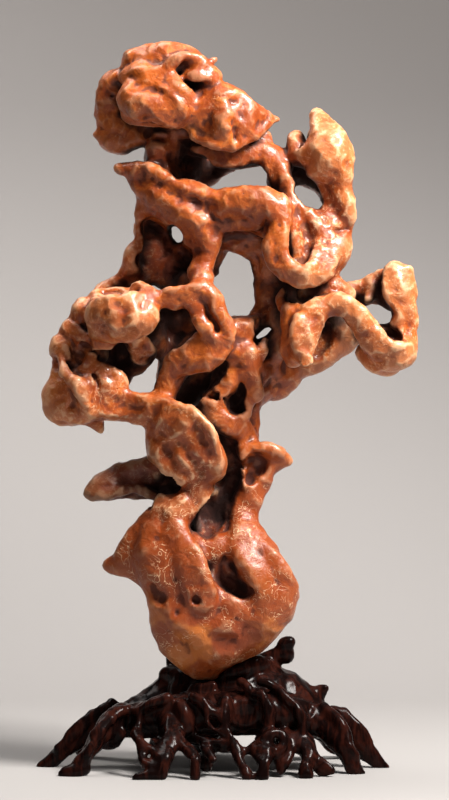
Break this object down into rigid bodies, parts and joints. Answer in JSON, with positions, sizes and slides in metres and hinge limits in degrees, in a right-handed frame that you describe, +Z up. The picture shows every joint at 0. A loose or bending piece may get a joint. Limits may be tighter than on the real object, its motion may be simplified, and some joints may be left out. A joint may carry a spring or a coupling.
{
  "type": "scholars rock on wooden stand",
  "caption": "Pierced, twisting polished stone standing upright in the socket of a dark carved root-wood stand.",
  "frame": {"origin": "on the floor under the middle of the object, where the feet of the stand rest", "axes": "+Z up through the stone, +X to the right of someone facing the show side, -Y towards them"},
  "size_m": [0.2672, 0.1638, 0.5068],
  "materials": {
    "polished_stone": "waxed orange and red-brown stone with cream veins and small pits, glossy",
    "dark_hardwood": "near-black red-brown hardwood, polished, with worn brown edges"
  },
  "bodies": {
    "root": {"rock": "polished_stone", "stand": "dark_hardwood"}
  },
  "joints": []
}
